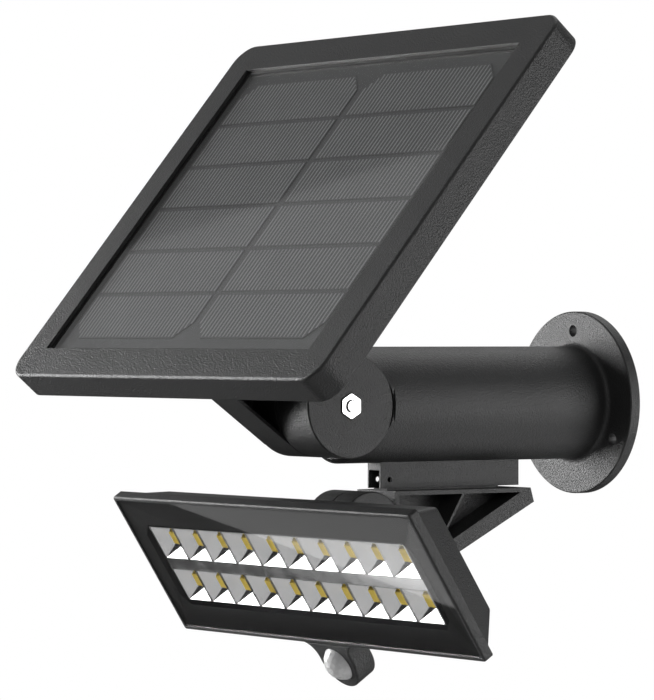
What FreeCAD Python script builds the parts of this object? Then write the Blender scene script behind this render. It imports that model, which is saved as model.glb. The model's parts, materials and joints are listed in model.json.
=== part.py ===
"""Solar flood light for a wall: tube arm, tilting solar panel, tilting lamp head with motion sensor.

Row frame, in millimetres: the origin is the centre of the wall flange's back face. The wall is the
plane y = 0, the arm stands out of it along -Y, +X is to the right for somebody who faces the wall,
and +Z is up.
"""
import FreeCAD, Part
import math
import os

V = FreeCAD.Vector

# ---------------------------------------------------------------- driving dimensions
# arm
TUBE_R = 26.5            # outside of the arm tube
TUBE_WALL = 3.5
TUBE_FRONT_Y = -144.8    # front end of the tube
TUBE_LIP = 2.0           # chamfer around the front end
TUBE_FILLET = 2.5        # where the tube runs into the flange
FLANGE_R = 43.0
FLANGE_T = 5.3
WALL_HOLE_R = 2.75
WALL_HOLE_RING_R = 33.8
WALL_HOLE_ANGLES = (90.0, 210.0, 330.0)

# panel hinge, along X
PANEL_AXIS_Y = -152.7
PANEL_AXIS_Z = 0.0
PANEL_KNUCKLE_R = 23.4
PANEL_KNUCKLE_GAP = 0.3
FIXED_KNUCKLE_X = (0.6, 25.4)
MOVING_KNUCKLE_X = (-20.5, -0.1)
ARM_LEAN = 4.8           # the arm's front wall leans out towards the panel
ARM_WALL = 1.6
FLAT_BACK_Y = -128.7     # the tube's right side is flat in front of here
M6_R = 3.0
M6_AF = 10.0             # across flats of the nut
M6_NUT_T = 5.0
RUNNING = 0.08           # radial clearance of a pivot bolt in its moving knuckle

# lamp hinge, along X
LAMP_AXIS_Y = -133.5
LAMP_AXIS_Z = -55.2
LAMP_KNUCKLE_R = 16.3
LAMP_FIXED_X = (0.6, 15.0)
LAMP_MOVING_X = (-15.0, -0.1)
M5_R = 2.5
M5_AF = 8.0

# rail under the tube, a channel that is open at its bottom
RAIL_Y = (-121.5, -41.9)
RAIL_HALF_W = 5.0
RAIL_BOTTOM_Z = -38.1
RAIL_WALL = 1.0
RAIL_ROOF_Z = -29.9
RAIL_HOLE_R = 1.25
RAIL_HOLE_YZ = (-116.4, -34.1)

# lamp bracket, seen from its side: y and z of the outline
BRACKET_HALF_W = 15.0
BRACKET_TOP_Z = -39.0
BRACKET_FRONT_Y = -120.2
BRACKET_TIP_Y = -42.6
BRACKET_TIP_LOW = (-40.6, -45.6)
BRACKET_SLOPE = 26.8     # degrees, of the diagonal
BRACKET_DIAGONAL_T = 6.6
BRACKET_PLATE_T = 2.0
BRACKET_CHIN_Y = -110.0  # where the diagonal ends
BRACKET_FRONT_LOW_Z = -74.0
BRACKET_WEB_T = 2.0
BRACKET_RIB_T = 1.6
RIB_TOP_Y = -82.4
RIB_LOW_Y = -99.4

# solar panel: u across, v up its face, w behind its face
PANEL_W = 247.0
PANEL_H = 206.4
PANEL_T = 15.0
PANEL_TILT = 50.0        # degrees from level
PANEL_FOOT_Y = -242.4    # bottom edge of the face
PANEL_FOOT_Z = 13.2
PANEL_CORNER_R = 11.0
PANEL_BORDER = 16.5
PANEL_SIDE_EXTRA = 1.4   # the side borders are a little wider
GLASS_EDGE = 0.15        # gap round the lamp's glass
PRINT_T = 0.25           # printed border behind the glass
PANEL_LIP_T = 1.6
GLASS_T = 3.2
CELL_SIZE = 156.75       # a full wafer, cut in six strips
CELL_STRIPS = 6
CELL_COLUMN_W = 96.6
CELL_COLUMN_GAP = 4.6
CELL_STRIP_GAP = 1.5
CELL_CHAMFER = 9.0
CELL_MID_V = 103.2
CELL_T = 0.3

# lamp head: u across, v down its face, w behind its face
LAMP_W = 234.8
LAMP_H = 76.1
LAMP_TILT = 32.8         # degrees that the face looks down
LAMP_TOP_Y = -188.8      # top edge of the face
LAMP_TOP_Z = -44.4
BEZEL_T = 5.0
BEZEL_LIP = 1.9
HOUSING_REAR_W = 22.0
HOUSING_FRONT = (-115.4, 115.4, -74.4, -1.4)   # outline where it meets the bezel
HOUSING_BACK = (-105.0, 105.0, -65.0, -11.0)   # outline at the back
WINDOW_HALF_W = 105.5
WINDOW_V = (15.6, 61.0)
WINDOW_CHAMFER = 5.5
LED_COLUMNS = 10
CUP_PITCH = 20.16
CUP_H = 18.0
CUP_RIDGE = 2.0          # flat ridge between two cups of a row
CUP_WALL = 0.7
CUP_DEPTH = 5.5
CUP_FRONT_W = 1.6
CUP_ROWS_V = (16.6, 40.4)
CUP_HOLE = 6.6           # square hole at the bottom of a cup
LED_W = 6.1
LED_H = 6.4
LED_FACE_W = 5.7         # how far the face of a lamp chip lies behind the lamp's face
BOARD_T = 1.0

# motion sensor pod below the lamp
POD_R = 12.5
POD_V = 86.9
POD_T = 11.6
POD_FLARE_R = 7.5
LENS_R = 8.4
LENS_DOME = 5.4

# push button on the lamp's back
BUTTON_UV = (72.0, 38.0)
BUTTON_R = 5.0
BUTTON_GAP = 0.35

nodes = {}


# ---------------------------------------------------------------- helpers
def block(x0, x1, y0, y1, z0, z1):
    return Part.makeBox(x1 - x0, y1 - y0, z1 - z0, V(x0, y0, z0))


def rod_x(radius, x0, x1, y=0.0, z=0.0):
    return Part.makeCylinder(radius, x1 - x0, V(x0, y, z), V(1, 0, 0))


def rod_y(radius, y0, y1, x=0.0, z=0.0):
    return Part.makeCylinder(radius, y1 - y0, V(x, y0, z), V(0, 1, 0))


def rod_z(radius, z0, z1, x=0.0, y=0.0):
    return Part.makeCylinder(radius, z1 - z0, V(x, y, z0), V(0, 0, 1))


def side_profile(points, x0, x1):
    """A solid between two X planes, from an outline of (y, z) points."""
    ring = [V(x0, y, z) for y, z in points]
    face = Part.Face(Part.makePolygon(ring + [ring[0]]))
    return face.extrude(V(x1 - x0, 0, 0))


def hex_x(across_flats, x0, x1, y, z):
    radius = across_flats / math.sqrt(3.0)
    angles = [math.radians(60.0 * k + 30.0) for k in range(6)]
    return side_profile([(y + radius * math.cos(a), z + radius * math.sin(a)) for a in angles], x0, x1)


def frustum(low, low_z, high, high_z):
    """A tapered block between two level rectangles, each (x0, x1, y0, y1)."""
    wires = []
    for (x0, x1, y0, y1), z in ((low, low_z), (high, high_z)):
        ring = [V(x0, y0, z), V(x1, y0, z), V(x1, y1, z), V(x0, y1, z)]
        wires.append(Part.makePolygon(ring + [ring[0]]))
    return Part.makeLoft(wires, True, True)


def round_block(x0, x1, y0, y1, z0, z1, radius):
    solid = block(x0, x1, y0, y1, z0, z1)
    upright = [e for e in solid.Edges if abs(e.tangentAt(e.FirstParameter).z) > 0.99]
    return solid.makeFillet(radius, upright)


def edges_on(solid, level):
    """The edges that lie whole in the plane z = level."""
    return [e for e in solid.Edges if all(abs(v.Z - level) < 1e-6 for v in e.Vertexes)
            and abs(e.CenterOfMass.z - level) < 1e-6]


def union(solids):
    first = solids[0]
    return first.multiFuse(solids[1:]).removeSplitter() if len(solids) > 1 else first


def keep(name, shape):
    nodes[name] = shape


def keep_group(name, solids):
    nodes[name] = Part.makeCompound(solids)


def screw_z(x, y, head_z, length, shank_r, head_r, head_t):
    """A pan-head screw that points to +Z from under its head, with a cross recess in the head."""
    head = rod_z(head_r, head_z - head_t, head_z, x, y)
    for wide, tall in ((head_r * 1.1, 0.5), (0.5, head_r * 1.1)):
        slot = block(x - wide / 2, x + wide / 2, y - tall / 2, y + tall / 2,
                     head_z - head_t - 0.1, head_z - head_t * 0.45)
        head = head.cut(slot)
    return head.fuse(rod_z(shank_r, head_z, head_z + length, x, y))


# ---------------------------------------------------------------- arm
def panel_axis_rod(radius, x0, x1):
    return rod_x(radius, x0, x1, PANEL_AXIS_Y, PANEL_AXIS_Z)


def lamp_axis_rod(radius, x0, x1):
    return rod_x(radius, x0, x1, LAMP_AXIS_Y, LAMP_AXIS_Z)


def make_arm_tube():
    tube = rod_y(TUBE_R, TUBE_FRONT_Y, -FLANGE_T)
    lip = [e for e in tube.Edges if abs(e.CenterOfMass.y - TUBE_FRONT_Y) < 1e-6]
    tube = tube.makeChamfer(TUBE_LIP, lip)
    flange = rod_y(FLANGE_R, -FLANGE_T, 0.0)
    rim = [e for e in flange.Edges if abs(e.CenterOfMass.y + FLANGE_T) < 1e-6]
    flange = flange.makeChamfer(0.5, rim)
    body = tube.fuse(flange)
    root = [e for e in body.Edges if abs(e.CenterOfMass.y + FLANGE_T) < 1e-6
            and abs(e.BoundBox.XLength - 2 * TUBE_R) < 0.1]
    body = body.makeFillet(TUBE_FILLET, root)
    body = body.cut(rod_y(TUBE_R - TUBE_WALL, TUBE_FRONT_Y - 1, 1))
    for angle in WALL_HOLE_ANGLES:
        x = WALL_HOLE_RING_R * math.cos(math.radians(angle))
        z = WALL_HOLE_RING_R * math.sin(math.radians(angle))
        body = body.cut(rod_y(WALL_HOLE_R, -FLANGE_T - 1, 1, x, z))
    flat = block(FIXED_KNUCKLE_X[1], TUBE_R + 1, TUBE_FRONT_Y - 1, FLAT_BACK_Y, -TUBE_R, TUBE_R)
    body = body.cut(flat)
    body = body.cut(panel_axis_rod(PANEL_KNUCKLE_R + PANEL_KNUCKLE_GAP, -TUBE_R - 1, TUBE_R + 1))
    keep("arm_tube", body)


def make_tube_knuckle():
    """The fixed half of the panel hinge, on a plug that closes the front of the tube."""
    x0, x1 = FIXED_KNUCKLE_X
    plug = rod_y(TUBE_R - TUBE_WALL - 0.05, -142.0, -125.0)
    plug = plug.cut(panel_axis_rod(PANEL_KNUCKLE_R + PANEL_KNUCKLE_GAP, -TUBE_R, x0))
    disc = panel_axis_rod(PANEL_KNUCKLE_R, x0, x1)
    bevel = [e for e in disc.Edges if abs(e.CenterOfMass.x - x1) < 1e-6]
    disc = disc.makeChamfer(0.5, bevel)
    knuckle = plug.fuse(disc)
    knuckle = knuckle.cut(panel_axis_rod(M6_R + 0.2, x0 - 1, x1 + 1))
    recess = hex_x(M6_AF + 0.9, x1 - 4.4, x1 + 1, PANEL_AXIS_Y, PANEL_AXIS_Z)
    knuckle = knuckle.cut(recess)
    lead_way = rod_y(5.0, -135.0, -124.0, 10.0, 0.0)
    keep("tube_knuckle", knuckle.cut(lead_way))


def make_pivot(prefix, rod, hexagon, bolt_r, flats, fixed_x, moving_x, nut_x):
    """Bolt, nut, washer and friction washer of one hinge, all held by the fixed half."""
    head_x = moving_x[0] - 1.2
    bolt = rod(bolt_r, head_x, nut_x[1] + 0.9)
    tip = [e for e in bolt.Edges if abs(e.CenterOfMass.x - nut_x[1] - 0.9) < 1e-6]
    bolt = bolt.makeChamfer(0.5, tip)
    head = hexagon(flats, head_x - 0.65 * 2 * bolt_r, head_x)
    keep(prefix + "_bolt", bolt.fuse(head))
    nut = hexagon(flats, nut_x[0], nut_x[1])
    nut = nut.common(rod(flats / math.sqrt(3.0) - 0.25, nut_x[0], nut_x[1]))
    keep(prefix + "_nut", nut.cut(rod(bolt_r, nut_x[0] - 1, nut_x[1] + 1)))
    washer = rod(bolt_r * 2.0, head_x, head_x + 0.9)
    keep(prefix + "_washer", washer.cut(rod(bolt_r + 0.2, head_x - 1, head_x + 2)))
    pad = rod(bolt_r * 3.2, moving_x[1] + 0.3, fixed_x[0])
    keep(prefix + "_friction_washer", pad.cut(rod(bolt_r + 0.2, -2, 3)))


def make_panel_pivot():
    nut_x = (FIXED_KNUCKLE_X[1] - 4.4, FIXED_KNUCKLE_X[1] - 4.4 + M6_NUT_T)

    def hexagon(flats, x0, x1):
        return hex_x(flats, x0, x1, PANEL_AXIS_Y, PANEL_AXIS_Z)
    make_pivot("panel_pivot", panel_axis_rod, hexagon, M6_R, M6_AF, FIXED_KNUCKLE_X, MOVING_KNUCKLE_X, nut_x)


def make_lamp_pivot():
    nut_x = (LAMP_FIXED_X[1] - 4.6, LAMP_FIXED_X[1] - 0.6)

    def hexagon(flats, x0, x1):
        return hex_x(flats, x0, x1, LAMP_AXIS_Y, LAMP_AXIS_Z)
    make_pivot("lamp_pivot", lamp_axis_rod, hexagon, M5_R, M5_AF, LAMP_FIXED_X, LAMP_MOVING_X, nut_x)


def make_lamp_rail():
    y0, y1 = RAIL_Y
    rail = block(-RAIL_HALF_W, RAIL_HALF_W, y0, y1, RAIL_BOTTOM_Z, -TUBE_R + 2)
    rail = rail.cut(rod_y(TUBE_R, y0 - 1, y1 + 1))
    inner = RAIL_HALF_W - RAIL_WALL
    rail = rail.cut(block(-inner, inner, y0 - 1, y1 - RAIL_WALL, RAIL_BOTTOM_Z - 1, RAIL_ROOF_Z))
    y, z = RAIL_HOLE_YZ
    keep("lamp_rail", rail.cut(rod_x(RAIL_HOLE_R, -RAIL_HALF_W - 1, RAIL_HALF_W + 1, y, z)))


def diagonal_z(y, offset=0.0):
    """Height of the bracket's lower edge at y, moved up at right angles to it by offset."""
    slope = math.radians(BRACKET_SLOPE)
    return BRACKET_TIP_LOW[1] + (y - BRACKET_TIP_LOW[0]) * math.tan(slope) + offset / math.cos(slope)


def make_lamp_bracket():
    """Gusset under the rail: plate, diagonal, rib and web, and the fixed half of the lamp hinge."""
    half = BRACKET_HALF_W
    front, chin = BRACKET_FRONT_Y, BRACKET_CHIN_Y
    top = BRACKET_TOP_Z
    outline = [(front, top), (BRACKET_TIP_Y, top), BRACKET_TIP_LOW, (chin, diagonal_z(chin)),
               (front, BRACKET_FRONT_LOW_Z)]
    plate_low = top - BRACKET_PLATE_T
    pocket_tip_y = BRACKET_TIP_LOW[0] - 8.0
    inside = [(front + 2.0, plate_low), (pocket_tip_y, plate_low),
              (chin, diagonal_z(chin, BRACKET_DIAGONAL_T)), (front + 2.0, BRACKET_FRONT_LOW_Z + 3.0)]
    body = side_profile(outline, -half, half)
    body = body.cut(side_profile(inside, BRACKET_WEB_T / 2, half + 1))
    body = body.cut(side_profile(inside, -half - 1, -BRACKET_WEB_T / 2))
    rib = [(RIB_TOP_Y, plate_low), (RIB_TOP_Y + BRACKET_RIB_T, plate_low),
           (RIB_LOW_Y + BRACKET_RIB_T, diagonal_z(RIB_LOW_Y, BRACKET_DIAGONAL_T)),
           (RIB_LOW_Y, diagonal_z(RIB_LOW_Y, BRACKET_DIAGONAL_T) - 0.5)]
    rib = side_profile(rib, -half, half)
    shoulder = block(-RAIL_HALF_W, RAIL_HALF_W, -118.0, -54.0, top, RAIL_BOTTOM_Z)
    tongue_half = RAIL_HALF_W - RAIL_WALL - 0.2
    tongue = block(-tongue_half, tongue_half, -104.0, -54.0, top, RAIL_ROOF_Z - 0.2)
    body = union([body, rib, shoulder, tongue])
    x0, x1 = LAMP_FIXED_X
    body = body.cut(lamp_axis_rod(LAMP_KNUCKLE_R + 0.5, -half - 1, half + 1))
    disc = lamp_axis_rod(LAMP_KNUCKLE_R, x0, x1)
    bevel = [e for e in disc.Edges if abs(e.CenterOfMass.x - x1) < 1e-6]
    disc = disc.makeChamfer(0.5, bevel)
    neck = side_profile([(LAMP_AXIS_Y, -48.0), (front + 4.0, -46.0), (front + 4.0, -68.0),
                         (LAMP_AXIS_Y, -68.0)], x0, half - 3.0)
    body = union([body, disc, neck])
    body = body.cut(lamp_axis_rod(M5_R + 0.2, -half, half + 1))
    recess = hex_x(M5_AF + 0.6, x1 - 4.6, x1 + 1, LAMP_AXIS_Y, LAMP_AXIS_Z)
    keep("lamp_bracket", body.cut(recess))


def make_rear_cap():
    inner = TUBE_R - TUBE_WALL - 0.1
    cap = rod_y(inner, -4.5, -1.0)
    seal = rod_y(inner, -6.3, -4.5).cut(rod_y(inner - 3.0, -7, 0))
    screws = []
    for k in range(3):
        x = 15.0 * math.cos(math.radians(120.0 * k + 30.0))
        z = 15.0 * math.sin(math.radians(120.0 * k + 30.0))
        cap = cap.cut(rod_y(1.6, -5, 0, x, z))
        cap = cap.cut(rod_y(3.0, -3.0, 0, x, z))
        screw = rod_y(2.8, -3.0, -1.4, x, z).fuse(rod_y(1.5, -12.0, -3.0, x, z))
        screws.append(screw.cut(block(x - 1.8, x + 1.8, -2.2, -1.0, z - 0.3, z + 0.3)))
    keep("rear_cap", cap)
    keep("rear_cap_seal", seal)
    keep_group("rear_cap_screws", screws)


def make_battery():
    cell_r, ring_r = 9.1, 10.8
    rear_end = rod_y(22.7, -12.5, -6.5)
    for k in range(3):
        angle = math.radians(120.0 * k + 90.0)
        x, z = ring_r * math.cos(angle), ring_r * math.sin(angle)
        cell = rod_y(cell_r, -79.0, -14.0, x, z)
        cell = cell.makeFillet(0.8, [e for e in cell.Edges if abs(e.CenterOfMass.y + 14.0) < 1e-6])
        keep("battery_cell_%d" % (k + 1), cell.fuse(rod_y(2.9, -80.2, -79.0, x, z)))
        boss = math.radians(120.0 * k + 30.0)
        rear_end = rear_end.cut(rod_y(1.5, -13, -6, 15.0 * math.cos(boss), 15.0 * math.sin(boss)))
    rear_end = rear_end.fuse(rod_y(20.0, -14.0, -12.5))
    keep("battery_end_rear", rear_end.cut(rod_y(4.0, -15, -6)))
    keep("battery_end_front", rod_y(22.7, -84.5, -80.2).cut(rod_y(4.0, -86, -80)))


def make_charge_board():
    keep("charge_board", block(-17.0, 17.0, -122.0, -86.0, -0.8, 0.8))
    parts = [block(-12.0, -4.0, -118.0, -110.0, 0.8, 5.3),
             rod_z(4.0, 0.8, 11.5, 8.0, -113.0),
             rod_z(2.5, 0.8, 8.0, 12.0, -102.0),
             block(-3.0, 3.0, -104.0, -99.0, 0.8, 2.4),
             block(-14.0, -6.0, -98.0, -91.0, 0.8, 6.8),
             block(4.0, 12.0, -96.0, -90.0, 0.8, 6.8)]
    keep_group("charge_board_parts", parts)


# ---------------------------------------------------------------- solar panel
def panel_local(u0, u1, v0, v1, w0, w1):
    return block(u0, u1, v0, v1, -w1, -w0)


def place_panel(shape):
    shape.rotate(V(0, 0, 0), V(1, 0, 0), PANEL_TILT)
    shape.translate(V(0, PANEL_FOOT_Y, PANEL_FOOT_Z))
    return shape


def panel_axis_vw():
    """Where the panel's hinge axis is in the panel's own v and w."""
    tilt = math.radians(PANEL_TILT)
    dy, dz = PANEL_AXIS_Y - PANEL_FOOT_Y, PANEL_AXIS_Z - PANEL_FOOT_Z
    return dy * math.cos(tilt) + dz * math.sin(tilt), dy * math.sin(tilt) - dz * math.cos(tilt)


def make_panel_frame():
    half = PANEL_W / 2
    frame = round_block(-half, half, 0, PANEL_H, -PANEL_T, 0, PANEL_CORNER_R)
    frame = frame.makeFillet(1.3, edges_on(frame, 0.0))
    frame = frame.makeFillet(0.8, edges_on(frame, -PANEL_T))
    edge, side = PANEL_BORDER, PANEL_BORDER + PANEL_SIDE_EXTRA
    frame = frame.cut(panel_local(-half + side, half - side, edge, PANEL_H - edge, -1, 6))
    room = edge - 4.0
    frame = frame.cut(panel_local(-half + room, half - room, room, PANEL_H - room, PANEL_LIP_T, 16))
    keep("panel_frame", place_panel(frame))


def make_panel_glass():
    half, room = PANEL_W / 2, PANEL_BORDER - 4.0 + 0.2
    back = PANEL_LIP_T + GLASS_T
    glass = panel_local(-half + room, half - room, room, PANEL_H - room, PANEL_LIP_T, back)
    keep("panel_glass", place_panel(glass))
    seal = panel_local(-half + room, half - room, room, PANEL_H - room, back, back + 1.6)
    inner = panel_local(-half + room + 5, half - room - 5, room + 5, PANEL_H - room - 5, back - 1, back + 3)
    keep("panel_seal", place_panel(seal.cut(inner)))


def cell_column(side):
    """Six strips cut from one wafer, with the wafer's clipped corners on the end strips."""
    near = CELL_COLUMN_GAP / 2
    low_v = CELL_MID_V - CELL_SIZE / 2
    high_v = CELL_MID_V + CELL_SIZE / 2
    u0, u1 = sorted((side * near, side * (near + CELL_COLUMN_W)))
    front = PANEL_LIP_T + GLASS_T + 0.05
    ring = [(u0 + CELL_CHAMFER, low_v), (u1 - CELL_CHAMFER, low_v), (u1, low_v + CELL_CHAMFER),
            (u1, high_v - CELL_CHAMFER), (u1 - CELL_CHAMFER, high_v), (u0 + CELL_CHAMFER, high_v),
            (u0, high_v - CELL_CHAMFER), (u0, low_v + CELL_CHAMFER)]
    ring = [V(u, v, -front) for u, v in ring]
    wafer = Part.Face(Part.makePolygon(ring + [ring[0]])).extrude(V(0, 0, -CELL_T))
    strip_h = CELL_SIZE / CELL_STRIPS
    strips = []
    for k in range(CELL_STRIPS):
        v0 = low_v + k * strip_h + (CELL_STRIP_GAP / 2 if k else 0.0)
        v1 = low_v + (k + 1) * strip_h - (CELL_STRIP_GAP / 2 if k < CELL_STRIPS - 1 else 0.0)
        strips.append(place_panel(wafer.common(panel_local(u0, u1, v0, v1, 0, 10)).Solids[0]))
    return strips


def make_cells():
    keep_group("cells_left", cell_column(-1))
    keep_group("cells_right", cell_column(1))
    back = PANEL_LIP_T + GLASS_T + 0.05 + CELL_T
    ribbons = []
    strip_h = CELL_SIZE / CELL_STRIPS
    for side in (-1, 1):
        mid = side * (CELL_COLUMN_GAP + CELL_COLUMN_W) / 2
        for k in range(1, CELL_STRIPS):
            v = CELL_MID_V - CELL_SIZE / 2 + k * strip_h
            ribbons.append(place_panel(panel_local(mid - 44, mid + 44, v - 3, v + 3, back, back + 0.15)))
    keep_group("cell_ribbons", ribbons)
    half = PANEL_W / 2 - PANEL_BORDER - 1.5
    sheet = panel_local(-half, half, 18.5, PANEL_H - 18.5, back + 0.15, back + 0.9)
    keep("cell_backsheet", place_panel(sheet))


def panel_screw_places():
    u, low, high = 102.0, 20.0, PANEL_H - 20.0
    return [(-u, low), (0.0, low - 2), (u, low), (-u, high), (0.0, high + 2), (u, high)]


def bracket_screw_places():
    return [(u, v) for u in (-35.0, 29.0) for v in (19.0, 85.0)]


def make_panel_back():
    half, room = PANEL_W / 2, PANEL_BORDER - 4.0 + 0.2
    cover = panel_local(-half + room, half - room, room, PANEL_H - room, 12.6, PANEL_T)
    bosses = [panel_local(u - 4, u + 4, v - 3, v + 3, 6.8, 12.6) for u, v in panel_screw_places()]
    cover = union([cover] + bosses)
    screws = []
    for u, v in panel_screw_places():
        cover = cover.cut(rod_z(1.5, -20, -8.6, u, v))
        cover = cover.cut(rod_z(3.1, -20, -PANEL_T + 1.6, u, v))
        screws.append(place_panel(screw_z(u, v, -PANEL_T + 1.6, 4.6, 1.5, 2.9, 1.5)))
    for u in (-60.0, -30.0, 30.0, 60.0):
        cover = cover.cut(panel_local(u - 1, u + 1, 110.0, 180.0, 14.2, 16))
    for u, v in bracket_screw_places():
        cover = cover.cut(rod_z(2.0, -PANEL_T - 1, -12, u, v))
    keep("panel_back_cover", place_panel(cover))
    keep_group("back_cover_screws", screws)
    box = panel_local(-22, 22, 128, 152, 6.6, 12.4)
    box = box.cut(panel_local(-20, 20, 130, 150, 8.0, 13))
    keep("panel_junction_box", place_panel(box))


def make_panel_bracket():
    """Foot plate on the panel's back, a hollow arm, and the moving half of the panel hinge."""
    axis_v, axis_w = panel_axis_vw()
    x0, x1 = MOVING_KNUCKLE_X
    low_v = axis_v - PANEL_KNUCKLE_R
    high_v = axis_v + 9.0
    plate = round_block(-42.0, 36.0, 12.0, 92.0, -PANEL_T - 3.0, -PANEL_T, 6.0)
    arm = side_profile([(low_v - ARM_LEAN, -PANEL_T), (low_v, -axis_w), (high_v, -axis_w),
                        (high_v, -PANEL_T)], x0, x1)
    knuckle = rod_x(PANEL_KNUCKLE_R, x0, x1, axis_v, -axis_w)
    bevel = [e for e in knuckle.Edges if abs(e.CenterOfMass.x - x0) < 1e-6]
    knuckle = knuckle.makeChamfer(0.5, bevel)
    gusset = [(high_v - 1, -PANEL_T - 1), (86.0, -PANEL_T - 1), (high_v - 1, -PANEL_T - 34)]
    gusset = side_profile(gusset, x0 + 8, x1 - 8)
    pocket = side_profile([(low_v - ARM_LEAN + ARM_WALL, -PANEL_T - 5.0), (low_v + ARM_WALL, -axis_w),
                           (high_v - 3.0, -axis_w), (high_v - 3.0, -PANEL_T - 5.0)], x0 + 2.5, x1 + 1)
    pocket = pocket.cut(rod_x(PANEL_KNUCKLE_R, x0, x1 + 2, axis_v, -axis_w))
    body = union([plate, arm, knuckle, gusset]).cut(pocket)
    body = body.cut(rod_x(M6_R + RUNNING, x0 - 1, x1 + 1, axis_v, -axis_w))
    screws = []
    for u, v in bracket_screw_places():
        body = body.cut(rod_z(2.1, -PANEL_T - 5, -PANEL_T + 1, u, v))
        screws.append(place_panel(screw_z(u, v, -PANEL_T - 3.0, 4.0, 2.0, 3.6, 2.2)))
    keep("panel_bracket", place_panel(body))
    keep_group("panel_bracket_screws", screws)


# ---------------------------------------------------------------- lamp head
def lamp_local(u0, u1, v0, v1, w0, w1):
    return block(u0, u1, -v1, -v0, -w1, -w0)


def place_lamp(shape):
    shape.rotate(V(0, 0, 0), V(1, 0, 0), 90.0 + LAMP_TILT)
    shape.translate(V(0, LAMP_TOP_Y, LAMP_TOP_Z))
    return shape


def lamp_axis_vw():
    tilt = math.radians(LAMP_TILT)
    dy, dz = LAMP_AXIS_Y - LAMP_TOP_Y, LAMP_AXIS_Z - LAMP_TOP_Z
    return dy * math.sin(tilt) - dz * math.cos(tilt), dy * math.cos(tilt) + dz * math.sin(tilt)


def make_bezel():
    half = LAMP_W / 2
    bezel = round_block(-half, half, -LAMP_H, 0, -BEZEL_T, 0, 1.5)
    bezel = bezel.makeFillet(0.8, edges_on(bezel, 0.0))
    lip = BEZEL_LIP
    bezel = bezel.cut(lamp_local(-half + lip, half - lip, lip, LAMP_H - lip, -1, 1.5))
    bezel = bezel.cut(lamp_local(-half + 9, half - 9, 12.0, LAMP_H - 12.0, -1, 6))
    keep("lamp_bezel", place_lamp(bezel))


def make_lamp_glass():
    half, lip = LAMP_W / 2, BEZEL_LIP + GLASS_EDGE
    glass = lamp_local(-half + lip, half - lip, lip, LAMP_H - lip, 0.2, 1.2)
    keep("lamp_glass", place_lamp(glass))
    border = lamp_local(-half + lip, half - lip, lip, LAMP_H - lip, 1.2, 1.2 + PRINT_T)
    wide, (v0, v1), cut = WINDOW_HALF_W, WINDOW_V, WINDOW_CHAMFER
    ring = [(-wide + cut, v0), (wide - cut, v0), (wide, v0 + cut), (wide, v1 - cut),
            (wide - cut, v1), (-wide + cut, v1), (-wide, v1 - cut), (-wide, v0 + cut)]
    ring = [V(u, -v, -2.0) for u, v in ring]
    window = Part.Face(Part.makePolygon(ring + [ring[0]])).extrude(V(0, 0, 2))
    keep("glass_border", place_lamp(border.cut(window)))


def cup(u, v):
    """The hollow of one reflector cup: a pyramid from its mouth to the square hole for its lamp chip."""
    mouth_u = (CUP_PITCH - CUP_RIDGE) / 2
    mouth_v = (CUP_H - CUP_WALL) / 2
    hole = CUP_HOLE / 2
    back = -(CUP_FRONT_W + CUP_DEPTH)
    hollow = frustum((u - hole, u + hole, -v - hole, -v + hole), back,
                     (u - mouth_u, u + mouth_u, -v - mouth_v, -v + mouth_v), -CUP_FRONT_W)
    return hollow.fuse(lamp_local(u - hole, u + hole, v - hole, v + hole, CUP_FRONT_W + CUP_DEPTH, 9))


def cup_places(top_v):
    first = -(LED_COLUMNS - 1) / 2.0 * CUP_PITCH
    return [(first + k * CUP_PITCH, top_v + CUP_H / 2) for k in range(LED_COLUMNS)]


def make_reflectors():
    half = LED_COLUMNS * CUP_PITCH / 2
    back = CUP_FRONT_W + CUP_DEPTH + 0.6
    for name, top_v in zip(("reflector_upper", "reflector_lower"), CUP_ROWS_V):
        strip = lamp_local(-half, half, top_v, top_v + CUP_H, CUP_FRONT_W, back)
        strip = strip.cut(Part.makeCompound([cup(u, v) for u, v in cup_places(top_v)]))
        keep(name, place_lamp(strip))
    low, high = CUP_ROWS_V[0] + CUP_H, CUP_ROWS_V[1]
    divider = lamp_local(-half, half, low + 0.1, high - 0.1, CUP_FRONT_W + 0.3, back)
    keep("divider_strip", place_lamp(divider))


def make_leds():
    back = CUP_FRONT_W + CUP_DEPTH + 0.6
    chips = []
    for top_v in CUP_ROWS_V:
        for u, v in cup_places(top_v):
            chip = lamp_local(u - LED_W / 2, u + LED_W / 2, v - LED_H / 2, v + LED_H / 2, LED_FACE_W, back)
            chips.append(place_lamp(chip))
    keep_group("led_emitters", chips)
    board = lamp_local(-103.0, 103.0, 14.5, 60.5, back, back + BOARD_T)
    keep("led_board", place_lamp(board))
    spreader = lamp_local(-104.0, 104.0, 14.5, 60.5, back + BOARD_T, back + 2 * BOARD_T)
    keep("heat_spreader", place_lamp(spreader))
    driver = lamp_local(-45.0, 45.0, 24.0, 52.0, 14.0, 15.6)
    parts = [lamp_local(-38.0, -24.0, 28.0, 40.0, 11.0, 14.0),
             lamp_local(-10.0, 2.0, 30.0, 46.0, 11.5, 14.0),
             lamp_local(18.0, 36.0, 28.0, 36.0, 10.6, 14.0)]
    keep("driver_board", place_lamp(union([driver] + parts)))


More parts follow.
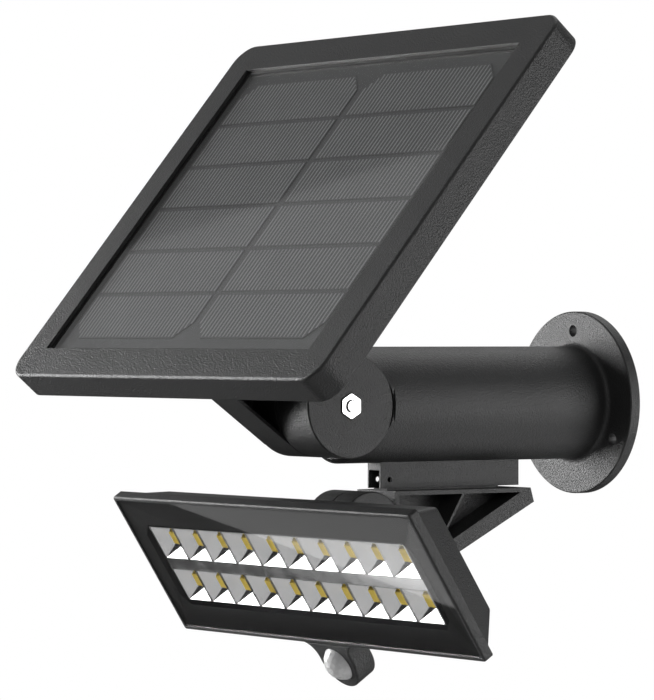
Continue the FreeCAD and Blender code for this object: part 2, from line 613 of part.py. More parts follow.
def make_housing():
    """Rear shell of the lamp, tapered to the back on all four sides."""
    shell = frustum(HOUSING_BACK, -HOUSING_REAR_W, HOUSING_FRONT, -BEZEL_T)
    rear = edges_on(shell, -HOUSING_REAR_W)
    slopes = [e for e in shell.Edges if abs(e.Vertexes[0].Z - e.Vertexes[1].Z) > 1]
    shell = shell.makeFillet(2.5, rear + slopes)
    hollow = frustum((-102.0, 102.0, -62.5, -13.5), -HOUSING_REAR_W + 2.4,
                     (-112.4, 112.4, -71.6, -4.2), -BEZEL_T + 0.01)
    shell = shell.cut(hollow)
    bosses, screws = [], []
    for u in (-96.0, 96.0):
        for v in (20.0, 56.0):
            bosses.append(rod_z(4.2, -HOUSING_REAR_W + 1.0, -10.0, u, -v))
            screws.append(place_lamp(screw_z(u, -v, -HOUSING_REAR_W + 1.8, 9.0, 1.5, 2.8, 1.6)))
    shell = union([shell] + bosses)
    for u in (-96.0, 96.0):
        for v in (20.0, 56.0):
            shell = shell.cut(rod_z(1.5, -23, -9, u, -v))
            shell = shell.cut(rod_z(3.1, -23, -HOUSING_REAR_W + 1.8, u, -v))
    for u, v in foot_screw_places():
        shell = shell.cut(rod_z(1.5, -23, -18, u, -v))
    u, v = BUTTON_UV
    shell = shell.cut(rod_z(BUTTON_R + BUTTON_GAP, -23, -18, u, -v))
    keep("lamp_housing", place_lamp(shell))
    keep_group("housing_screws", screws)
    seal = lamp_local(-111.0, 111.0, 5.2, 70.4, BEZEL_T + 0.05, BEZEL_T + 1.2)
    seal = seal.cut(lamp_local(-108.0, 108.0, 8.2, 67.4, 4, 8))
    keep("lamp_seal", place_lamp(seal))


def foot_screw_places():
    axis_v = lamp_axis_vw()[0]
    return [(u, axis_v + dv) for u in (-22.0, 22.0) for dv in (-12.0, 12.0)]


def make_lamp_foot():
    """Foot plate on the lamp's back with the moving half of the lamp hinge."""
    axis_v, axis_w = lamp_axis_vw()
    x0, x1 = LAMP_MOVING_X
    plate = round_block(-27.0, 27.0, -axis_v - 17.0, -axis_v + 17.0, -HOUSING_REAR_W - 1.7,
                        -HOUSING_REAR_W, 4.0)
    foot = lamp_local(x0, x1, axis_v - 12.0, axis_v + 12.0, HOUSING_REAR_W, axis_w)
    knuckle = rod_x(LAMP_KNUCKLE_R, x0, x1, -axis_v, -axis_w)
    bevel = [e for e in knuckle.Edges if abs(e.CenterOfMass.x - x0) < 1e-6]
    knuckle = knuckle.makeChamfer(0.5, bevel)
    body = union([plate, foot, knuckle])
    body = body.cut(rod_x(M5_R + RUNNING, x0 - 1, x1 + 1, -axis_v, -axis_w))
    screws = []
    for u, v in foot_screw_places():
        body = body.cut(rod_z(1.6, -HOUSING_REAR_W - 2, -HOUSING_REAR_W + 1, u, -v))
        screws.append(place_lamp(screw_z(u, -v, -HOUSING_REAR_W - 1.7, 3.6, 1.5, 2.6, 1.3)))
    keep("lamp_foot", place_lamp(body))
    keep_group("lamp_foot_screws", screws)


def pod_outline():
    """Front view of the sensor pod: round below, straight sides, flared where it meets the lamp."""
    top_v, flare = 66.0, POD_FLARE_R
    edge_v = LAMP_H
    side_low = POD_V
    corner = POD_R + flare
    p = [V(-corner, -top_v, 0), V(corner, -top_v, 0), V(corner, -edge_v, 0)]
    sag = flare * (1 - math.sqrt(0.5))
    bend = V(POD_R + sag, -edge_v - sag, 0)
    left_bend = V(-bend.x, bend.y, 0)
    edges = [Part.makeLine(p[0], p[1]), Part.makeLine(p[1], p[2])]
    edges.append(Part.Arc(p[2], bend, V(POD_R, -edge_v - flare, 0)).toShape())
    edges.append(Part.makeLine(V(POD_R, -edge_v - flare, 0), V(POD_R, -side_low, 0)))
    edges.append(Part.Arc(V(POD_R, -side_low, 0), V(0, -side_low - POD_R, 0), V(-POD_R, -side_low, 0)).toShape())
    edges.append(Part.makeLine(V(-POD_R, -side_low, 0), V(-POD_R, -edge_v - flare, 0)))
    edges.append(Part.Arc(V(-POD_R, -edge_v - flare, 0), left_bend, V(-corner, -edge_v, 0)).toShape())
    edges.append(Part.makeLine(V(-corner, -edge_v, 0), p[0]))
    return Part.Face(Part.Wire(edges))


def make_sensor_pod():
    pod = pod_outline().extrude(V(0, 0, -POD_T))
    pod = pod.makeFillet(0.9, edges_on(pod, 0.0) + edges_on(pod, -POD_T))
    pod = pod.cut(lamp_local(-118, 118, 0, LAMP_H, -1, BEZEL_T))
    pod = pod.cut(frustum(HOUSING_BACK, -HOUSING_REAR_W, HOUSING_FRONT, -BEZEL_T))
    pod = pod.cut(rod_z(LENS_R + 0.35, -1.6, 1, 0, -POD_V))
    pod = pod.cut(rod_z(LENS_R - 1.0, -POD_T + 1.6, 1, 0, -POD_V))
    keep("pir_housing", place_lamp(pod))
    sphere_r = (LENS_R * LENS_R + LENS_DOME * LENS_DOME) / (2 * LENS_DOME)
    centre = V(0, -POD_V, LENS_DOME - sphere_r)
    dome = Part.makeSphere(sphere_r, centre).common(rod_z(LENS_R, 0, LENS_DOME + 1, 0, -POD_V))
    flange = rod_z(LENS_R, -1.6, 0, 0, -POD_V)
    inner = Part.makeSphere(sphere_r - 1.2, centre).common(rod_z(LENS_R, 0, LENS_DOME + 1, 0, -POD_V))
    lens = dome.fuse(flange).cut(inner).cut(rod_z(LENS_R - 1.4, -2, 0.01, 0, -POD_V))
    keep("pir_lens", place_lamp(lens.removeSplitter()))
    can = rod_z(4.6, -7.2, -3.2, 0, -POD_V).fuse(rod_z(5.1, -7.2, -6.8, 0, -POD_V))
    keep("pir_sensor", place_lamp(can))
    keep("pir_board", place_lamp(rod_z(LENS_R - 1.1, -8.6, -7.2, 0, -POD_V)))


def make_button():
    u, v = BUTTON_UV
    back = -HOUSING_REAR_W
    cap = rod_z(BUTTON_R, back - 2.0, back + 3.4, u, -v)
    cap = cap.makeFillet(0.8, edges_on(cap, back - 2.0))
    cap = cap.fuse(rod_z(BUTTON_R + 1.4, back + 2.7, back + 3.4, u, -v))
    keep("mode_button", place_lamp(cap.removeSplitter()))
    switch = lamp_local(u - 3, u + 3, v - 3, v + 3, 10.5, 16.0)
    switch = switch.fuse(rod_z(1.6, -16.6, -16.0, u, -v))
    keep("button_switch", place_lamp(switch))


# ---------------------------------------------------------------- build and write
def build():
    make_arm_tube()
    make_tube_knuckle()
    make_panel_pivot()
    make_lamp_rail()
    make_lamp_bracket()
    make_lamp_pivot()
    make_rear_cap()
    make_battery()
    make_charge_board()
    make_panel_frame()
    make_panel_glass()
    make_cells()
    make_panel_back()
    make_panel_bracket()
    make_bezel()
    make_lamp_glass()
    make_reflectors()
    make_leds()
    make_housing()
    make_lamp_foot()
    make_sensor_pod()
    make_button()


def write():
    os.makedirs("parts", exist_ok=True)
    for name, shape in nodes.items():
        shape.exportStep("parts/%s.step" % name)
        volumes = [round(s.Volume, 1) for s in shape.Solids]
        print(name, "solids", len(volumes), "valid", shape.isValid(), "mm3", round(sum(volumes), 1))


build()
write()
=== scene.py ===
# %% [markdown]
# # A solar flood light, finished piece by piece
#
# The light has three parts that move against each other. An arm is screwed to the wall, a solar
# panel tilts on top of it, and a lamp head with a motion sensor tilts below it. The shapes come
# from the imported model. This lesson gives them their finishes, and adds the thin things that are
# printed or moulded on the real pieces: the silver lines on the solar cells, the flush strip
# between the two rows of lamp cups, and the small facets of the sensor's dome.

import json
import math

import bpy
from mathutils import Matrix, Vector


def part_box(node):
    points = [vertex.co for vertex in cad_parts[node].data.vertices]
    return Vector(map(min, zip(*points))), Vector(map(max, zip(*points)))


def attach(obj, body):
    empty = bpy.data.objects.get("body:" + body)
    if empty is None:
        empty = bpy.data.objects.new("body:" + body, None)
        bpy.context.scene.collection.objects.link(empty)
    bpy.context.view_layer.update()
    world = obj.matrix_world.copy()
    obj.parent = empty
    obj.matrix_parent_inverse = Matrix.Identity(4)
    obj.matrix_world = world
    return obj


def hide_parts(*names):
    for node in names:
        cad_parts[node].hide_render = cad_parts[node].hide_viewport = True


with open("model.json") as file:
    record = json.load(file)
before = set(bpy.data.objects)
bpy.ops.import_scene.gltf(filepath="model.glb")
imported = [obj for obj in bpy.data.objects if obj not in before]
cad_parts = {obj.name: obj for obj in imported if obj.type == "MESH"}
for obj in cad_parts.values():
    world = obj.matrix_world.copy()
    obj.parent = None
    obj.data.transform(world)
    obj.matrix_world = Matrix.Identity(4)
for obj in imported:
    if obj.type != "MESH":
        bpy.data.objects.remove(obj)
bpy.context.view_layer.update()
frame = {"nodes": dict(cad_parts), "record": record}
MM = 0.001

# %% [markdown]
# Every finish below is a small tree of nodes. A few helpers keep that short: one starts a material
# with a Principled shader, another adds a node, sets its values and joins its inputs. They could
# be written out each time, but then the numbers that matter would be hard to find.

# %% Helpers for materials
finishes = {}


def start_finish(name):
    """A new material with one Principled shader. Returns its tree and the shader."""
    material = bpy.data.materials.new(name)
    material.use_nodes = True
    tree = material.node_tree
    finishes[name] = material
    return tree, tree.nodes["Principled BSDF"]


def add(tree, kind, settings=None, **inputs):
    """Adds a node. Settings are its own choices, inputs are sockets by name, values or outputs."""
    node = tree.nodes.new(kind)
    for key, value in (settings or {}).items():
        setattr(node, key, value)
    for key, value in inputs.items():
        feed(tree, node, key.replace("_", " "), value)
    return node


def feed(tree, node, socket, value):
    """Sets an input of a node, or links it if the value is another node's output."""
    target = node.inputs[socket]
    if isinstance(value, bpy.types.NodeSocket):
        tree.links.new(value, target)
    else:
        target.default_value = value


def place(tree):
    """Coordinates in metres in the piece's own frame, so a grain keeps its real size and rides along."""
    return add(tree, "ShaderNodeTexCoord").outputs["Object"]


def ramp(tree, factor, stops):
    """A colour ramp from (position, colour) pairs."""
    node = add(tree, "ShaderNodeValToRGB", Fac=factor)
    elements = node.color_ramp.elements
    while len(elements) < len(stops):
        elements.new(0.5)
    for element, (position, colour) in zip(elements, stops):
        element.position = position
        element.color = (*colour, 1.0) if len(colour) == 3 else colour
    return node.outputs["Color"]


def stretch(tree, factor, low, high):
    """Maps a 0 to 1 value to a range."""
    return add(tree, "ShaderNodeMapRange", Value=factor, To_Min=low, To_Max=high).outputs["Result"]


def noise(tree, size, detail=2.0, where=None, roughness=0.5):
    """Noise whose blobs are about this many metres across."""
    return add(tree, "ShaderNodeTexNoise", Vector=where or place(tree), Scale=1.0 / size,
               Detail=detail, Roughness=roughness).outputs["Fac"]


def grey(value):
    return (value, value, value)


def tint(value, warm):
    """A grey that leans to yellow when warm is above 0, and to blue when it is below."""
    return (value * (1.0 + warm), value, value * (1.0 - warm))


# %% [markdown]
# ## Textured charcoal plastic
#
# Nearly every outer piece is moulded in the same dark grey plastic with a fine spark-eroded
# grain. The grain scatters a lamp's reflection into a soft, slightly speckled sheen. It could be
# modelled as real bumps, but they are under a millimetre wide, so a bump from noise in real
# millimetres shows the same thing and costs nothing. A second, much larger noise stops broad
# faces from being one flat tone, and a Bevel node rounds the light on sharp edges by 0.4
# millimetres, as a mould does.

# %% Charcoal plastic
def charcoal(name, base, rough, grain, edge):
    tree, shader = start_finish(name)
    where = place(tree)
    fine = noise(tree, 0.9 * MM, 2.0, where, 0.6)
    finer = noise(tree, 0.5 * MM, 1.0, where)
    broad = noise(tree, 30 * MM, 3.0, where)
    tones = [(0.3, tint(base * 0.93, -0.01)), (0.7, tint(base * 1.08, -0.01))]
    feed(tree, shader, "Base Color", ramp(tree, broad, tones))
    feed(tree, shader, "Roughness", stretch(tree, fine, rough - 0.06, rough + 0.06))
    rounded = add(tree, "ShaderNodeBevel", {"samples": 4}, Radius=edge).outputs["Normal"]
    heights = add(tree, "ShaderNodeMath", {"operation": "MULTIPLY_ADD"})
    tree.links.new(finer, heights.inputs[0])
    heights.inputs[1].default_value = 0.5
    tree.links.new(fine, heights.inputs[2])
    bump = add(tree, "ShaderNodeBump", Strength=grain, Distance=0.5 * MM, Height=heights.outputs[0],
               Normal=rounded)
    feed(tree, shader, "Normal", bump.outputs["Normal"])
    shader.inputs["Specular IOR Level"].default_value = 0.5
    print("finish", name)


charcoal("charcoal_plastic", base=0.026, rough=0.44, grain=0.7, edge=0.4 * MM)

# %% [markdown]
# ## Glass over the panel, clear cover over the lamp
#
# Both are flat sheets that mirror the room weakly and let the light through to what lies behind.
# Real glass in a ray tracer blocks the direct light of lamps, because a bent ray never meets a
# lamp exactly. So rays that look for a lamp are let straight through, which for a thin flat
# sheet is nearly what happens.

# %% Clear sheets
def clear_sheet(name, colour, rough, ior, ripple):
    tree, shader = start_finish(name)
    feed(tree, shader, "Base Color", (*colour, 1.0))
    shader.inputs["Transmission Weight"].default_value = 1.0
    shader.inputs["IOR"].default_value = ior
    where = place(tree)
    smear = noise(tree, 40 * MM, 2.0, where)
    feed(tree, shader, "Roughness", stretch(tree, smear, rough * 0.8, rough * 1.2))
    wave = add(tree, "ShaderNodeBump", Strength=ripple, Distance=0.05 * MM,
               Height=noise(tree, 35 * MM, 1.0, where))
    feed(tree, shader, "Normal", wave.outputs["Normal"])
    path = add(tree, "ShaderNodeLightPath").outputs["Is Shadow Ray"]
    through = add(tree, "ShaderNodeBsdfTransparent", Color=(*colour, 1.0))
    mix = add(tree, "ShaderNodeMixShader", Fac=path)
    tree.links.new(shader.outputs["BSDF"], mix.inputs[1])
    tree.links.new(through.outputs["BSDF"], mix.inputs[2])
    tree.links.new(mix.outputs[0], tree.nodes["Material Output"].inputs["Surface"])
    print("finish", name)


clear_sheet("panel_glass", (0.96, 0.97, 0.97), rough=0.03, ior=1.45, ripple=0.003)
clear_sheet("lamp_cover", (0.98, 0.98, 0.98), rough=0.012, ior=1.40, ripple=0.003)

# %% [markdown]
# ## Solar cells and the sheet behind them
#
# A cell is a very dark wafer with a satin anti-reflection coat. The sheet behind it is a dark
# laminate, a little lighter than the wafer, and the ribbons between the strips are dark as well.
# Each wafer strip differs a little in tone from the next one, so a soft noise with blobs about
# as large as a strip drives the colour.

# %% Cells, backsheet and ribbons
def satin(name, dark, light, rough, blob, speck, metal=0.0, grain_size=0.5 * MM, flat=False):
    """A finish between two greys that change over blobs of one size, with a fine bump, the speck."""
    tree, shader = start_finish(name)
    where = place(tree)
    shade = noise(tree, blob, 2.0, where)
    feed(tree, shader, "Base Color", ramp(tree, shade, [(0.3, grey(dark)), (0.7, grey(light))]))
    fine = noise(tree, grain_size, 2.0, where)
    feed(tree, shader, "Roughness", stretch(tree, fine, max(rough - 0.05, 0.02), rough + 0.05))
    shader.inputs["Metallic"].default_value = metal
    bump = add(tree, "ShaderNodeBump", Strength=speck, Distance=0.1 * MM, Height=fine)
    if flat:
        feed(tree, bump, "Normal", add(tree, "ShaderNodeNewGeometry").outputs["True Normal"])
    feed(tree, shader, "Normal", bump.outputs["Normal"])
    print("finish", name)


# name, darkest grey, lightest grey, roughness, size of the blobs, strength of the bump
satin("solar_cell", 0.010, 0.013, 0.45, 25 * MM, 0.1)
satin("backsheet", 0.028, 0.033, 0.6, 30 * MM, 0.1)
satin("ribbon", 0.022, 0.028, 0.5, 8 * MM, 0.1)
satin("finger_silver", 0.17, 0.21, 0.5, 12 * MM, 0.1)

# %% [markdown]
# ## The other finishes
#
# The black border printed behind the lamp's cover is ink. The reflectors are plastic with
# a vacuum-deposited mirror coat, which is never quite sharp. Their walls are flat, so they are
# shaded with each face's own direction instead of one blended across the corners. Nut and bolt
# are zinc-plated steel. Inside pieces have plain finishes: they show when somebody opens the
# model up.

# %% Metals, prints, rubber and boards
satin("black_print", 0.007, 0.010, 0.35, 20 * MM, 0.0, grain_size=12 * MM, flat=True)
satin("reflector", 0.50, 0.54, 0.10, 15 * MM, 0.002, metal=1.0, grain_size=6 * MM, flat=True)
satin("divider", 0.92, 0.96, 0.08, 15 * MM, 0.002, metal=1.0, grain_size=6 * MM, flat=True)
satin("steel", 0.68, 0.76, 0.22, 3 * MM, 0.1, metal=1.0)
satin("spreader", 0.62, 0.70, 0.35, 20 * MM, 0.1, metal=1.0)
satin("sensor_can", 0.62, 0.68, 0.3, 5 * MM, 0.1, metal=1.0)
satin("battery_can", 0.08, 0.12, 0.35, 15 * MM, 0.05)
satin("black_board", 0.004, 0.006, 0.6, 20 * MM, 0.02)
satin("green_board", 0.04, 0.06, 0.35, 20 * MM, 0.05)
satin("inner_plastic", 0.10, 0.13, 0.5, 20 * MM, 0.1)
satin("seal_rubber", 0.018, 0.026, 0.7, 8 * MM, 0.2)
satin("button_rubber", 0.05, 0.06, 0.6, 6 * MM, 0.3)


def led_phosphor():
    """Yellow phosphor over blue chips, with a fine grain of darker and lighter yellow."""
    tree, shader = start_finish("led_phosphor")
    where = place(tree)
    grain = noise(tree, 0.6 * MM, 3.0, where)
    tones = [(0.3, (0.80, 0.56, 0.05)), (0.7, (0.90, 0.68, 0.08))]
    feed(tree, shader, "Base Color", ramp(tree, grain, tones))
    feed(tree, shader, "Roughness", stretch(tree, grain, 0.35, 0.5))


def sensor_lens():
    """Milky polyethylene: light goes in, scatters and comes out again, so its edges glow."""
    tree, shader = start_finish("sensor_lens")
    where = place(tree)
    cloud = noise(tree, 4 * MM, 3.0, where)
    feed(tree, shader, "Base Color", ramp(tree, cloud, [(0.3, grey(0.76)), (0.7, grey(0.84))]))
    feed(tree, shader, "Roughness", stretch(tree, cloud, 0.22, 0.34))
    shader.inputs["Subsurface Weight"].default_value = 0.3
    shader.inputs["Subsurface Radius"].default_value = (2 * MM, 2 * MM, 2 * MM)
    shader.inputs["Subsurface Scale"].default_value = 1.0


led_phosphor()
sensor_lens()
print("finishes:", len(finishes))

# %% [markdown]
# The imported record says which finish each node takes, and one loop hands them out.

# %% Hand the finishes out
slot_of = {part["node"]: part["material_slot"] for part in frame["record"]["subparts"]}
for node, thing in frame["nodes"].items():
    thing.data.materials.clear()
    thing.data.materials.append(finishes[slot_of[node]])
print("finished nodes:", len(slot_of))

# %% [markdown]
# ## A frame of reference on a tilted plate
#
# The panel is tilted, so its own across, up and outward directions are found from the corners of
# its glass: the long way of the plate in side view is up its face. Everything printed on the
# cells is then placed in flat millimetre coordinates.

# %% Panel directions
SAME_PLACE = 0.01 * MM      # corners closer together than this are one corner
SAME_LENGTH = 0.001 * MM    # lengths closer than this are one length


def face_directions(node):
    """Up-the-face and out-of-the-face directions of a plate that is tilted about X, from its corners."""
    corners = [thing.co for thing in frame["nodes"][node].data.vertices]
    low = min(corners, key=lambda c: c.y + c.z)
    high = max(corners, key=lambda c: c.y + c.z)
    near = [c for c in corners if abs(c.x - low.x) < SAME_PLACE]
    # from the low corner, the shortest way is through the plate and the next one is up its face
    sides = sorted({round((c - low).length, 6) for c in near if (c - low).length > SAME_PLACE})
    edge = next(c for c in near if abs((c - low).length - sides[1]) < SAME_LENGTH)
    up = (edge - low).normalized()
    if up.z < 0:
        up = -up
    out = Vector((1, 0, 0)).cross(up).normalized()
    return up, (out if out.y < 0 else -out)


panel_up, panel_out = face_directions("panel_glass")
print("panel tilt:", round(math.degrees(math.atan2(panel_up.z, panel_up.y)), 2), "degrees")

# %% [markdown]
# ## Silver lines on the cells
#
# Fine silver lines are screen-printed on every strip to collect the current. They run up the
# panel, across each strip. A striped texture could draw them, but real raised strips catch the
# light and stay crisp at any distance, and four hundred thin boxes are still a light mesh.

# %% Finger lines
FINGERS = 35              # lines on one column
FINGER_W = 0.95 * MM      # their width
FINGER_T = 0.035 * MM     # and thickness
STRIPS = 6                # strips in one column
CHAMFER = 9.0 * MM        # the cut corners of a column, where lines are shorter
STRIP_GAP = 1.5 * MM      # between two strips
LINE_STOP = 0.6 * MM      # a line stops this far from a strip's long edge
EDGE_STOP = 0.8 * MM      # and this far from the column's end
LIFT = 0.002 * MM         # the lines lie this far over the wafer


def extent(node, origin, up, out):
    """Low and high corners of a node in across, up and out coordinates from a point."""
    local = [((v.co - origin).x, (v.co - origin).dot(up), (v.co - origin).dot(out))
             for v in frame["nodes"][node].data.vertices]
    return tuple(min(c) for c in zip(*local)), tuple(max(c) for c in zip(*local))


BOX_SIDES = ((0, 2, 3, 1), (4, 5, 7, 6), (0, 1, 5, 4), (2, 6, 7, 3), (0, 4, 6, 2), (1, 3, 7, 5))


def boxes_mesh(name, boxes, origin, up, out):
    """One mesh of closed boxes, each (low, high) in a tilted plate's across, up and out coordinates."""
    points, faces = [], []
    for low, high in boxes:
        first = len(points)
        for k in range(8):
            u, v, w = [(low, high)[k >> axis & 1][axis] for axis in range(3)]
            points.append(origin + Vector((u, 0, 0)) + up * v + out * w)
        faces += [[first + corner for corner in side] for side in BOX_SIDES]
    mesh = bpy.data.meshes.new(name)
    mesh.from_pydata(points, [], faces)
    mesh.validate()
    thing = bpy.data.objects.new(name, mesh)
    bpy.context.scene.collection.objects.link(thing)
    return thing


def finger_boxes(low, high):
    pitch = (high[0] - low[0]) / FINGERS
    step = (high[1] - low[1]) / STRIPS
    stop = STRIP_GAP / 2 + LINE_STOP
    boxes = []
    for k in range(FINGERS):
        middle = low[0] + (k + 0.5) * pitch
        inset = max(0.0, CHAMFER - min(middle - low[0], high[0] - middle))
        for strip in range(STRIPS):
            v0 = low[1] + strip * step + (stop if strip else EDGE_STOP + inset)
            v1 = low[1] + (strip + 1) * step - (stop if strip < STRIPS - 1 else EDGE_STOP + inset)
            boxes.append(((middle - FINGER_W / 2, v0, high[2] + LIFT),
                          (middle + FINGER_W / 2, v1, high[2] + LIFT + FINGER_T)))
    return boxes


for side in ("left", "right"):
    node = "cells_" + side
    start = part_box(node)[0]
    lines = finger_boxes(*extent(node, start, panel_up, panel_out))
    fingers = boxes_mesh("cell_fingers_" + side, lines, start, panel_up, panel_out)
    fingers.data.materials.append(finishes["finger_silver"])
    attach(fingers, "panel")
    print(fingers.name, "lines:", len(fingers.data.polygons) // 6)

# %% [markdown]
# ## The strip between the two rows of cups
#
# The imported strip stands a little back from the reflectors, and that small step would make a
# bright line, because two mirrors at a right angle throw light straight back. A flush strip has
# no such line, so a flush one is shown instead.

# %% Divider between the rows
STEP = 0.31 * MM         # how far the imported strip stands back, and a hair more
REACH = 0.08 * MM        # how far the flush one reaches into the gap to each row
lamp_up, lamp_out = face_directions("lamp_glass")
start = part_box("divider_strip")[0]
low, high = extent("divider_strip", start, lamp_up, lamp_out)
plate = [((low[0], low[1] - REACH, low[2]), (high[0], high[1] + REACH, high[2] + STEP))]
divider = boxes_mesh("divider_plate", plate, start, lamp_up, lamp_out)
divider.data.materials.append(finishes["divider"])
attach(divider, "lamp")
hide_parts("divider_strip")
print("divider:", [round((b - a) * 1000, 2) for a, b in zip(*plate[0])], "mm")

# %% [markdown]
# ## The sensor's faceted dome
#
# The dome of a motion sensor is moulded as a honeycomb of small lenses, each of which throws a
# different slice of the garden onto the sensor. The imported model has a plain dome. Here the same
# dome is built from flat facets in rings, so that each one takes the light a little differently.

# %% Sensor dome
FACET_RINGS = ((6, 0.26), (12, 0.58), (18, 0.82), (36, 1.0))   # corners, share of the rim's radius
LENS_SKIRT = 1.6 * MM     # straight part behind the dome


def dome_measures():
    """Centre of the lens's back plane, rim radius and height from the back to the top of the dome."""
    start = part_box("pir_lens")[0]
    low, high = extent("pir_lens", start, lamp_up, lamp_out)
    centre = start + Vector(((low[0] + high[0]) / 2, 0, 0))
    centre += lamp_up * ((low[1] + high[1]) / 2) + lamp_out * low[2]
    return centre, (high[0] - low[0]) / 2, high[2] - low[2]


def make_dome():
    centre, radius, height = dome_measures()
    rise = height - LENS_SKIRT
    sphere_r = (radius * radius + rise * rise) / (2 * rise)
    right = Vector((1, 0, 0))
    points, faces = [], []

    def ring(count, distance, level):
        first = len(points)
        for k in range(count):
            angle = 2 * math.pi * k / count
            across = right * math.cos(angle) + lamp_up * math.sin(angle)
            points.append(centre + across * distance + lamp_out * level)
        return list(range(first, first + count))

    inner = None
    for count, part in FACET_RINGS:
        distance = radius * part
        drop = sphere_r - math.sqrt(sphere_r ** 2 - distance ** 2)
        outer = ring(count, distance, height - drop)
        faces += bridge(inner, outer) if inner else [tuple(outer)]
        inner = outer
    back = ring(FACET_RINGS[-1][0], radius, 0.0)
    faces += bridge(inner, back)
    faces.append(tuple(reversed(back)))
    mesh = bpy.data.meshes.new("sensor_dome")
    mesh.from_pydata(points, [], faces)
    mesh.validate()
    dome = bpy.data.objects.new("sensor_dome", mesh)
    bpy.context.scene.collection.objects.link(dome)
    mesh.materials.append(finishes["sensor_lens"])
    return dome


def bridge(inner, outer):
    """Triangles between two rings of points that start at the same angle."""
    faces = []
    a, b = 0, 0
    while a < len(inner) or b < len(outer):
        near, far = inner[a % len(inner)], outer[b % len(outer)]
        if b < len(outer) and (b + 1) / len(outer) <= (a + 1) / len(inner):
            b += 1
            faces.append((near, far, outer[b % len(outer)]))
        else:
            a += 1
            faces.append((near, far, inner[a % len(inner)]))
    return faces


dome = make_dome()
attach(dome, "lamp")
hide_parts("pir_lens")
print("dome faces:", len(dome.data.polygons), "size:", [round(d * 1000, 1) for d in dome.dimensions])

# %% [markdown]
# ## Room, light and camera
#
# The main light is one tall softbox to the left in front. Dark plastic shows little but what it
# reflects, so smaller and weaker cards stand wherever a side of the object would otherwise mirror
# nothing: behind it on the right, above, below, and near the camera. The room is white for the
# camera and dark for everything else. The pale floor lies 1.3 metres under the arm.

# %% Floor
def make_floor():
    mesh = bpy.data.meshes.new("floor")
    size, level = 3.5, -1.3
    corners = [(-size, -size, level), (size, -size, level), (size, size, level), (-size, size, level)]
    mesh.from_pydata(corners, [], [(0, 1, 2, 3)])
    floor = bpy.data.objects.new("floor", mesh)
    bpy.context.scene.collection.objects.link(floor)
    tree, shader = start_finish("floor_paint")
    shade = noise(tree, 0.4, 2.0)
    feed(tree, shader, "Base Color", ramp(tree, shade, [(0.3, grey(0.78)), (0.7, grey(0.82))]))
    shader.inputs["Roughness"].default_value = 0.8
    shader.inputs["Emission Color"].default_value = (1.0, 1.0, 1.0, 1.0)
    shader.inputs["Emission Strength"].default_value = 0.9
    mesh.materials.append(finishes["floor_paint"])
    floor.visible_glossy = False
    floor.visible_diffuse = False
    floor.visible_transmission = False


make_floor()

# %% Light of the room
def make_room():
    world = bpy.data.worlds.new("studio")
    bpy.context.scene.world = world
    world.use_nodes = True
    tree = world.node_tree
    direction = add(tree, "ShaderNodeTexCoord").outputs["Generated"]
    up = add(tree, "ShaderNodeSeparateXYZ", Vector=direction).outputs["Z"]
    height = add(tree, "ShaderNodeMapRange", Value=up)
    height.inputs["From Min"].default_value = -1.0
    # share of the way from straight down to straight up, and the brightness there
    levels = ((0.0, 0.06), (0.45, 0.04), (0.58, 0.09), (0.72, 0.15), (1.0, 0.20))
    tones = [(height_share, grey(level)) for height_share, level in levels]
    sky = ramp(tree, height.outputs["Result"], tones)
    glow = add(tree, "ShaderNodeBackground", Color=sky, Strength=1.0)
    white = add(tree, "ShaderNodeBackground", Color=(1, 1, 1, 1), Strength=1.0)
    seen = add(tree, "ShaderNodeLightPath").outputs["Is Camera Ray"]
    mix = add(tree, "ShaderNodeMixShader", Fac=seen)
    tree.links.new(glow.outputs[0], mix.inputs[1])
    tree.links.new(white.outputs[0], mix.inputs[2])
    tree.links.new(mix.outputs[0], tree.nodes["World Output"].inputs["Surface"])


def card(name, at, facing, size, brightness, roll=0.0):
    """A glowing card, a soft lamp of even brightness that the camera doesn't see."""
    data = bpy.data.lights.new(name, "AREA")
    data.shape = "RECTANGLE"
    data.size, data.size_y = size
    # a flat lamp's power is its brightness times pi times its area
    data.energy = brightness * math.pi * size[0] * size[1]
    thing = bpy.data.objects.new(name, data)
    bpy.context.scene.collection.objects.link(thing)
    thing.location = at
    aimed = (-facing).to_track_quat("Z", "Y").to_matrix()
    thing.rotation_euler = (Matrix.Rotation(roll, 3, facing) @ aimed).to_euler()
    thing.visible_camera = False
    return thing


SOFTBOX_SHIFT = 0.045       # how far the softbox is moved aside, in metres
SOFTBOX_FORWARD = 0.022     # how far its centre lies in front of the lamp's cover


def tall_softbox(centre, azimuth, away, width, slant, parts):
    """Cards on top of each other, (low, high, brightness), facing the object from the left front."""
    back = Vector((-math.cos(azimuth), -math.sin(azimuth), 0))
    ahead = Vector((math.sin(azimuth), -math.cos(azimuth), 0))
    for number, (low, high, brightness) in enumerate(parts):
        level = (low + high) / 2
        aside = level * math.tan(slant) + SOFTBOX_SHIFT
        at = centre + back * away + Vector((0, 0, level)) - ahead * aside
        size = (width, (high - low) / math.cos(slant))
        card("softbox_%d" % number, at, -back, size, brightness, -slant)


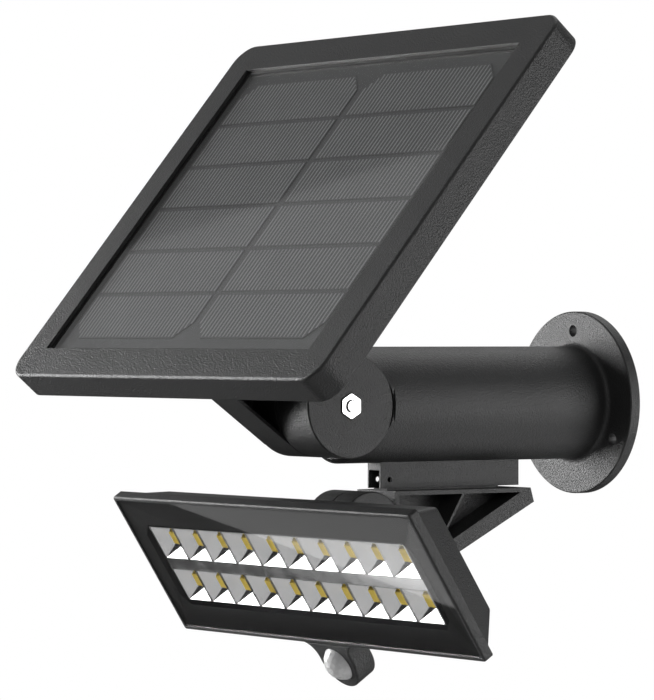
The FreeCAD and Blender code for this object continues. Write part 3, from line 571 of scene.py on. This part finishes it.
make_room()
lamp_middle = sum(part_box("lamp_glass"), Vector()) / 2
softbox_centre = Vector((0, lamp_middle.y - SOFTBOX_FORWARD, 0))
tall_softbox(softbox_centre, azimuth=math.radians(26), away=1.3, width=0.74, slant=math.radians(6.2),
             parts=[(-1.25, -0.40, 0.85), (-0.40, 0.53, 10.9), (0.53, 1.6, 0.2)])
SIDE_CARDS = [
    # name, direction, distance, size, brightness
    ("top_card", (-0.3, -0.1, 1.0), 1.6, (1.4, 1.4), 0.35),
    ("high_back_card", (-0.35, 0.58, 0.73), 1.6, (1.0, 1.0), 1.6),
    ("low_back_card", (0.25, 0.58, -0.77), 1.3, (0.9, 0.9), 1.3),
    ("camera_side_card", (0.80, -0.55, 0.25), 2.3, (0.9, 0.9), 2.4),
    ("bottom_card", (0.3, -0.2, -0.93), 1.2, (0.9, 0.9), 0.9)]
for name, direction, away, size, brightness in SIDE_CARDS:
    direction = Vector(direction).normalized()
    card(name, softbox_centre + direction * away, -direction, size, brightness)
# the right side's card stands behind the wall plane and close by, so its light falls off quickly
# towards the front of the panel
right_dir = Vector((0.815, 0.579, -0.04)).normalized()
card("right_card", at=right_dir * 0.8, facing=-right_dir, size=(0.56, 0.56), brightness=4.2)

# %% Camera
AZIMUTH = math.radians(54.73)    # from straight in front of the wall, towards +X
ELEVATION = math.radians(-0.12)
SPOT = Vector((1.4396, -1.1660, 0.0305))
LENS = 200.57                    # focal length and sensor width in millimetres
SENSOR_WIDTH = 36.0
SHIFT_Y = -0.029                 # moves the picture instead of tipping the camera


def make_camera():
    data = bpy.data.cameras.new("camera")
    data.lens, data.sensor_width = LENS, SENSOR_WIDTH
    data.shift_y = SHIFT_Y
    data.clip_end = 100.0
    data.dof.use_dof = False
    camera = bpy.data.objects.new("camera", data)
    bpy.context.scene.collection.objects.link(camera)
    level = math.cos(ELEVATION)
    back = Vector((math.sin(AZIMUTH) * level, -math.cos(AZIMUTH) * level, math.sin(ELEVATION)))
    camera.rotation_euler = back.to_track_quat("Z", "Y").to_euler()
    camera.location = SPOT
    bpy.context.scene.camera = camera
    print("camera:", [round(c, 3) for c in camera.location])


make_camera()
bpy.context.scene.view_settings.view_transform = "Standard"

# %% [markdown]
# The last cell brings the scene up to date.

# %% Bring the scene up to date
bpy.context.view_layer.update()
